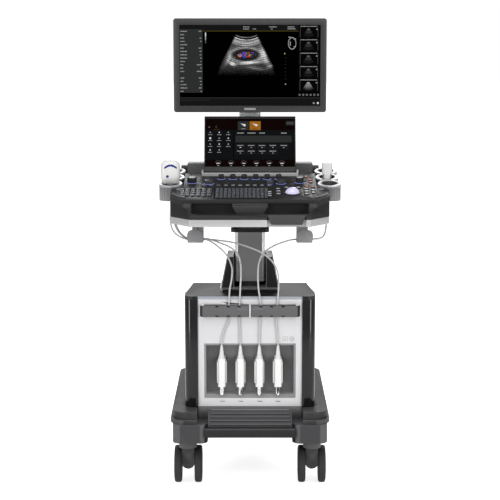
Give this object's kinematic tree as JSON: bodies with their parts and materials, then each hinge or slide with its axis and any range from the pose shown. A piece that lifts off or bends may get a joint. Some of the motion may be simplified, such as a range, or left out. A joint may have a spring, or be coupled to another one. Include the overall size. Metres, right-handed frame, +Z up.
{
  "type": "ultrasound scanner",
  "caption": "Wheeled veterinary ultrasound cart with a lifting console, touch panel, tilting monitor, probe cups and front probe connectors.",
  "frame": {"origin": "centre of the object's outline on the floor", "axes": "+Z up, -Y towards the operator, +X to the operator's right when facing the screen"},
  "size_m": [0.6, 0.78, 1.551],
  "materials": {
    "dark_plastic": "fine moulded grain",
    "charcoal_plastic": "fine moulded grain",
    "gloss_black": "gloss",
    "light_paint": "satin paint",
    "silver_paint": "metallic satin paint",
    "grey_plastic": "moulded grain",
    "sheet_steel": "brushed",
    "chrome": "polished",
    "caster_rubber": "satin",
    "white_plastic": "satin gloss",
    "screen_glass": "polished",
    "key_plastic": "satin",
    "ball_resin": "polished",
    "cord_jacket": "satin"
  },
  "bodies": {
    "base": {"base_frame": "charcoal_plastic", "base_deck": "dark_plastic", "side_fairings": "dark_plastic", "foot_rest": "dark_plastic", "cabinet_shells": "gloss_black", "cabinet_top": "charcoal_plastic", "front_panel": "light_paint", "kick_panel": "grey_plastic", "rear_cover": "dark_plastic", "connector_bay": "charcoal_plastic", "probe_connectors": "white_plastic", "electronics_chassis": "sheet_steel", "inner_mast": "gloss_black", "mast_shroud": "gloss_black", "gas_spring_cylinder": "gloss_black", "cord_1": "cord_jacket", "cord_2": "cord_jacket", "cord_3": "cord_jacket", "cord_4": "cord_jacket"},
    "fan": {"fan_rotor": "dark_plastic"},
    "door_left": {"cable_door_left": "dark_plastic"},
    "door_right": {"cable_door_right": "dark_plastic"},
    "lift": {"column_sleeve": "charcoal_plastic", "gas_spring_rod": "chrome", "swivel_collar": "dark_plastic"},
    "console": {"console_shell": "charcoal_plastic", "console_trims": "silver_paint", "control_panel": "dark_plastic", "rear_housing": "charcoal_plastic", "cup_racks": "silver_paint", "cable_hooks": "grey_plastic", "probes_left": "white_plastic", "probe_right": "white_plastic", "monitor_post": "silver_paint"},
    "lever": {"release_lever": "charcoal_plastic"},
    "ball": {"trackball": "ball_resin"},
    "keyboard": {"keyboard_keys": "key_plastic"},
    "keys": {"function_keys": "key_plastic"},
    "gain": {"gain_knob": "dark_plastic"},
    "zoom": {"zoom_knob": "dark_plastic"},
    "touch": {"touch_housing": "dark_plastic", "touch_glass": "screen_glass"},
    "monitor_swivel": {"monitor_yoke": "dark_plastic"},
    "monitor": {"monitor_bezel": "charcoal_plastic", "monitor_back": "charcoal_plastic", "monitor_glass": "screen_glass"},
    "encoder_body_1": {"encoder_1": "dark_plastic"},
    "encoder_body_2": {"encoder_2": "dark_plastic"},
    "encoder_body_3": {"encoder_3": "dark_plastic"},
    "encoder_body_4": {"encoder_4": "dark_plastic"},
    "encoder_body_5": {"encoder_5": "dark_plastic"},
    "encoder_body_6": {"encoder_6": "dark_plastic"},
    "fork_fl": {"caster_fork_fl": "charcoal_plastic"},
    "wheels_fl": {"caster_wheels_fl": "caster_rubber"},
    "fork_fr": {"caster_fork_fr": "charcoal_plastic"},
    "wheels_fr": {"caster_wheels_fr": "caster_rubber"},
    "fork_rl": {"caster_fork_rl": "charcoal_plastic"},
    "wheels_rl": {"caster_wheels_rl": "caster_rubber"},
    "fork_rr": {"caster_fork_rr": "charcoal_plastic"},
    "wheels_rr": {"caster_wheels_rr": "caster_rubber"}
  },
  "joints": [
    {"name": "fan_spin", "type": "hinge", "parent": "base", "child": "fan", "pos_m": [0, 0.285, 0.36], "axis": [0, 1, 0], "continuous": true},
    {"name": "door_left_open", "type": "hinge", "parent": "base", "child": "door_left", "pos_m": [-0.157, -0.282, 0.594], "axis": [0, 0, -1], "range_deg": [0, 100]},
    {"name": "door_right_open", "type": "hinge", "parent": "base", "child": "door_right", "pos_m": [0.157, -0.282, 0.594], "axis": [0, 0, 1], "range_deg": [0, 100]},
    {"name": "lift_slide", "type": "slide", "parent": "base", "child": "lift", "axis": [0, 0, 1], "range_m": [-0.015, 0.12], "deforming": ["cord_1", "cord_2", "cord_3", "cord_4"]},
    {"name": "console_swivel", "type": "hinge", "parent": "lift", "child": "console", "pos_m": [0, -0.097, 0.85], "axis": [0, 0, 1], "range_deg": [-30, 30]},
    {"name": "lever_squeeze", "type": "hinge", "parent": "console", "child": "lever", "pos_m": [0.117, -0.3845, 0.924], "axis": [1, 0, 0], "range_deg": [0, 8], "stiffness_Nm_per_rad": 0.6, "springref_deg": -17.19},
    {"name": "ball_roll", "type": "hinge", "parent": "console", "child": "ball", "pos_m": [0.138, -0.28198, 0.9811], "axis": [1, 0, 0], "continuous": true},
    {"name": "keyboard_press", "type": "slide", "parent": "console", "child": "keyboard", "axis": [0, 0.2079, -0.9781], "range_m": [0, 0.002], "stiffness_N_per_m": 2000, "springref_m": -0.001},
    {"name": "keys_press", "type": "slide", "parent": "console", "child": "keys", "axis": [0, 0.2079, -0.9781], "range_m": [0, 0.002], "stiffness_N_per_m": 2000, "springref_m": -0.001},
    {"name": "gain_turn", "type": "hinge", "parent": "console", "child": "gain", "pos_m": [-0.193, -0.17611, 1.01209], "axis": [0, -0.2079, 0.9781], "continuous": true},
    {"name": "zoom_turn", "type": "hinge", "parent": "console", "child": "zoom", "pos_m": [0.165, -0.17611, 1.01209], "axis": [0, -0.2079, 0.9781], "continuous": true},
    {"name": "encoder_turn_1", "type": "hinge", "parent": "console", "child": "encoder_body_1", "pos_m": [-0.096, -0.14089, 1.01957], "axis": [0, -0.2079, 0.9781], "continuous": true},
    {"name": "encoder_turn_2", "type": "hinge", "parent": "console", "child": "encoder_body_2", "pos_m": [-0.0576, -0.14089, 1.01957], "axis": [0, -0.2079, 0.9781], "continuous": true},
    {"name": "encoder_turn_3", "type": "hinge", "parent": "console", "child": "encoder_body_3", "pos_m": [-0.0192, -0.14089, 1.01957], "axis": [0, -0.2079, 0.9781], "continuous": true},
    {"name": "encoder_turn_4", "type": "hinge", "parent": "console", "child": "encoder_body_4", "pos_m": [0.0192, -0.14089, 1.01957], "axis": [0, -0.2079, 0.9781], "continuous": true},
    {"name": "encoder_turn_5", "type": "hinge", "parent": "console", "child": "encoder_body_5", "pos_m": [0.0576, -0.14089, 1.01957], "axis": [0, -0.2079, 0.9781], "continuous": true},
    {"name": "encoder_turn_6", "type": "hinge", "parent": "console", "child": "encoder_body_6", "pos_m": [0.096, -0.14089, 1.01957], "axis": [0, -0.2079, 0.9781], "continuous": true},
    {"name": "touch_tilt", "type": "hinge", "parent": "console", "child": "touch", "pos_m": [0, -0.088, 1.038], "axis": [1, 0, 0], "range_deg": [-10, 50]},
    {"name": "monitor_turn", "type": "hinge", "parent": "console", "child": "monitor_swivel", "pos_m": [0, 0.063, 1.335], "axis": [0, 0, 1], "range_deg": [-45, 45]},
    {"name": "monitor_tilt", "type": "hinge", "parent": "monitor_swivel", "child": "monitor", "pos_m": [0, 0.063, 1.392], "axis": [1, 0, 0], "range_deg": [-20, 5]},
    {"name": "caster_swivel_fl", "type": "hinge", "parent": "base", "child": "fork_fl", "pos_m": [-0.208, -0.27, 0.16], "axis": [0, 0, 1], "continuous": true},
    {"name": "wheel_roll_fl", "type": "hinge", "parent": "fork_fl", "child": "wheels_fl", "pos_m": [-0.208, -0.245, 0.0625], "axis": [1, 0, 0], "continuous": true},
    {"name": "caster_swivel_fr", "type": "hinge", "parent": "base", "child": "fork_fr", "pos_m": [0.208, -0.27, 0.16], "axis": [0, 0, 1], "continuous": true},
    {"name": "wheel_roll_fr", "type": "hinge", "parent": "fork_fr", "child": "wheels_fr", "pos_m": [0.208, -0.245, 0.0625], "axis": [1, 0, 0], "continuous": true},
    {"name": "caster_swivel_rl", "type": "hinge", "parent": "base", "child": "fork_rl", "pos_m": [-0.208, 0.3, 0.16], "axis": [0, 0, 1], "continuous": true},
    {"name": "wheel_roll_rl", "type": "hinge", "parent": "fork_rl", "child": "wheels_rl", "pos_m": [-0.208, 0.325, 0.0625], "axis": [1, 0, 0], "continuous": true},
    {"name": "caster_swivel_rr", "type": "hinge", "parent": "base", "child": "fork_rr", "pos_m": [0.208, 0.3, 0.16], "axis": [0, 0, 1], "continuous": true},
    {"name": "wheel_roll_rr", "type": "hinge", "parent": "fork_rr", "child": "wheels_rr", "pos_m": [0.208, 0.325, 0.0625], "axis": [1, 0, 0], "continuous": true}
  ]
}
